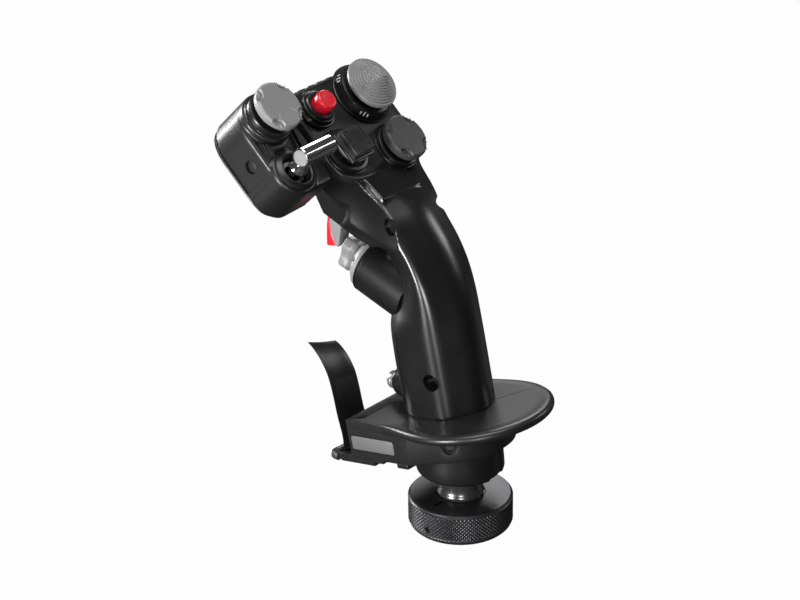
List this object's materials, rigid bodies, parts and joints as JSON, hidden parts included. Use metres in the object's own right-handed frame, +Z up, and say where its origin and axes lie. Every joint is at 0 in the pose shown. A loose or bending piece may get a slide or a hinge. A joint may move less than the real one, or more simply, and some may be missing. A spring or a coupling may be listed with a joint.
{
  "type": "flight joystick",
  "caption": "Right-handed flight stick grip with hats, buttons, a toggle, a trigger and a paddle on a tilted hand rest, held by a knurled threaded locking ring.",
  "frame": {"origin": "centre of the locking ring's thread at the ring's flat underside", "axes": "+Z up along the ring and neck, +Y forward to the trigger side, +X to the right of the person holding the grip"},
  "size_m": [0.1051, 0.1506, 0.2264],
  "materials": {
    "satin_black_shell": "smooth semi-gloss black paint",
    "matte_black": "fine matte black coating",
    "face_gray": "fine matte dark gray coating",
    "knurled_black": "black anodised, knurled",
    "black_anodised": "black anodised, satin",
    "gray_metal": "matte bead-blasted",
    "silver_metal": "satin machined",
    "light_plate": "fine brushed",
    "polished_chrome": "polished",
    "bright_steel": "turned",
    "red_plastic": "semi-gloss",
    "black_plastic": "moulded",
    "contact_gold": "plated",
    "board_green": "lacquered",
    "spring_steel": "drawn wire"
  },
  "bodies": {
    "root": {"mount_stub": "black_anodised", "connector_body": "black_plastic", "connector_pins": "contact_gold", "collar": "black_anodised", "base_block": "matte_black", "hand_rest": "face_gray", "nameplate": "light_plate", "base_screws": "black_anodised", "hinge_bracket": "matte_black", "paddle_pin": "bright_steel", "paddle_spring": "spring_steel", "paddle_switch": "black_plastic", "grip_left_shell": "satin_black_shell", "grip_right_shell": "satin_black_shell", "shell_screws": "black_anodised", "head_housing": "satin_black_shell", "face_plate": "face_gray", "thumb_box": "matte_black", "thumb_box_cover": "matte_black", "box_screws": "black_anodised", "trim_bezel": "black_anodised", "release_collar": "matte_black", "release_spring": "spring_steel", "ribbed_bezel": "black_anodised", "black_bezel": "black_anodised", "gray_bezel": "black_anodised", "toggle_bezel": "matte_black", "front_boss": "satin_black_shell", "front_flange": "gray_metal", "trigger_bracket": "matte_black", "trigger_pin": "bright_steel", "trigger_spring": "spring_steel", "trigger_switch": "black_plastic", "pinky_collar": "black_anodised", "pinky_spring": "spring_steel", "grip_board": "board_green", "head_board": "board_green", "wiring_loom": "black_plastic"},
    "ring": {"locking_ring": "knurled_black", "ring_screw": "black_anodised"},
    "release": {"release_button": "red_plastic"},
    "pinky": {"pinky_button": "silver_metal"},
    "trigger": {"trigger_body": "gray_metal", "trigger_blade": "red_plastic"},
    "paddle": {"paddle_lever": "matte_black"},
    "trim_gimbal_body": {"trim_gimbal": "gray_metal"},
    "trim_hat_body": {"trim_hat": "gray_metal"},
    "ribbed_gimbal_body": {"ribbed_gimbal": "gray_metal"},
    "ribbed_hat_body": {"ribbed_hat": "black_plastic", "ribbed_base": "gray_metal"},
    "black_gimbal_body": {"black_gimbal": "gray_metal"},
    "black_hat_body": {"black_hat": "black_plastic"},
    "gray_gimbal_body": {"gray_gimbal": "gray_metal"},
    "gray_hat_body": {"gray_hat": "gray_metal"},
    "toggle_gimbal_body": {"toggle_gimbal": "gray_metal"},
    "toggle_hat_body": {"toggle_stem": "polished_chrome", "toggle_barrel": "polished_chrome"},
    "front_gimbal_body": {"front_gimbal": "gray_metal"},
    "front_hat_body": {"front_knob": "silver_metal"}
  },
  "joints": [
    {"name": "ring_spin", "type": "hinge", "parent": "root", "child": "ring", "pos_m": [0, 0, 0], "axis": [0, 0, 1], "continuous": true},
    {"name": "trim_tip", "type": "hinge", "parent": "root", "child": "trim_gimbal_body", "pos_m": [0.01562, 0.07761, 0.20018], "axis": [0.9962, 0.0872, 0], "range_deg": [-7, 7], "stiffness_Nm_per_rad": 0.06},
    {"name": "trim_tilt", "type": "hinge", "parent": "trim_gimbal_body", "child": "trim_hat_body", "pos_m": [0.01562, 0.07761, 0.20018], "axis": [-0.0616, 0.7044, 0.7071], "range_deg": [-7, 7], "stiffness_Nm_per_rad": 0.06},
    {"name": "ribbed_tip", "type": "hinge", "parent": "root", "child": "ribbed_gimbal_body", "pos_m": [-0.01637, 0.05884, 0.18427], "axis": [0.9962, 0.0872, 0], "range_deg": [-7, 7], "stiffness_Nm_per_rad": 0.06},
    {"name": "ribbed_tilt", "type": "hinge", "parent": "ribbed_gimbal_body", "child": "ribbed_hat_body", "pos_m": [-0.01637, 0.05884, 0.18427], "axis": [-0.0616, 0.7044, 0.7071], "range_deg": [-7, 7], "stiffness_Nm_per_rad": 0.06},
    {"name": "black_tip", "type": "hinge", "parent": "root", "child": "black_gimbal_body", "pos_m": [0.01602, 0.05579, 0.1784], "axis": [0.9962, 0.0872, 0], "range_deg": [-7, 7], "stiffness_Nm_per_rad": 0.06},
    {"name": "black_tilt", "type": "hinge", "parent": "black_gimbal_body", "child": "black_hat_body", "pos_m": [0.01602, 0.05579, 0.1784], "axis": [-0.0616, 0.7044, 0.7071], "range_deg": [-7, 7], "stiffness_Nm_per_rad": 0.06},
    {"name": "gray_tip", "type": "hinge", "parent": "root", "child": "gray_gimbal_body", "pos_m": [-0.04994, 0.07543, 0.20796], "axis": [0.9962, 0.0872, 0], "range_deg": [-7, 7], "stiffness_Nm_per_rad": 0.06},
    {"name": "gray_tilt", "type": "hinge", "parent": "gray_gimbal_body", "child": "gray_hat_body", "pos_m": [-0.04994, 0.07543, 0.20796], "axis": [-0.0616, 0.7044, 0.7071], "range_deg": [-7, 7], "stiffness_Nm_per_rad": 0.06},
    {"name": "toggle_tip", "type": "hinge", "parent": "root", "child": "toggle_gimbal_body", "pos_m": [-0.05186, 0.05716, 0.18653], "axis": [0.9962, 0.0872, 0], "range_deg": [-12, 12], "stiffness_Nm_per_rad": 0.06},
    {"name": "toggle_tilt", "type": "hinge", "parent": "toggle_gimbal_body", "child": "toggle_hat_body", "pos_m": [-0.05186, 0.05716, 0.18653], "axis": [-0.0616, 0.7044, 0.7071], "range_deg": [-12, 12], "stiffness_Nm_per_rad": 0.06},
    {"name": "front_tip", "type": "hinge", "parent": "root", "child": "front_gimbal_body", "pos_m": [0, 0.05213, 0.12293], "axis": [1, 0, 0], "range_deg": [-6, 6], "stiffness_Nm_per_rad": 0.06},
    {"name": "front_tilt", "type": "hinge", "parent": "front_gimbal_body", "child": "front_hat_body", "pos_m": [0, 0.05213, 0.12293], "axis": [0, 0.2924, -0.9563], "range_deg": [-6, 6], "stiffness_Nm_per_rad": 0.06},
    {"name": "release_press", "type": "slide", "parent": "root", "child": "release", "axis": [-0.0616, 0.7044, -0.7071], "range_m": [0, 0.0015], "stiffness_N_per_m": 900, "deforming": ["release_spring"]},
    {"name": "pinky_press", "type": "slide", "parent": "root", "child": "pinky", "axis": [0, -0.9781, 0.2079], "range_m": [0, 0.0015], "stiffness_N_per_m": 900, "deforming": ["pinky_spring"]},
    {"name": "trigger_pull", "type": "hinge", "parent": "root", "child": "trigger", "pos_m": [0, 0.07071, 0.15063], "axis": [-1, 0, 0], "range_deg": [0, 9], "stiffness_Nm_per_rad": 0.6, "deforming": ["trigger_spring"]},
    {"name": "paddle_swing", "type": "hinge", "parent": "root", "child": "paddle", "pos_m": [-0.0182, 0.05446, 0.03089], "axis": [1, 0, 0], "range_deg": [0, 10], "stiffness_Nm_per_rad": 0.8, "deforming": ["paddle_spring"]}
  ]
}
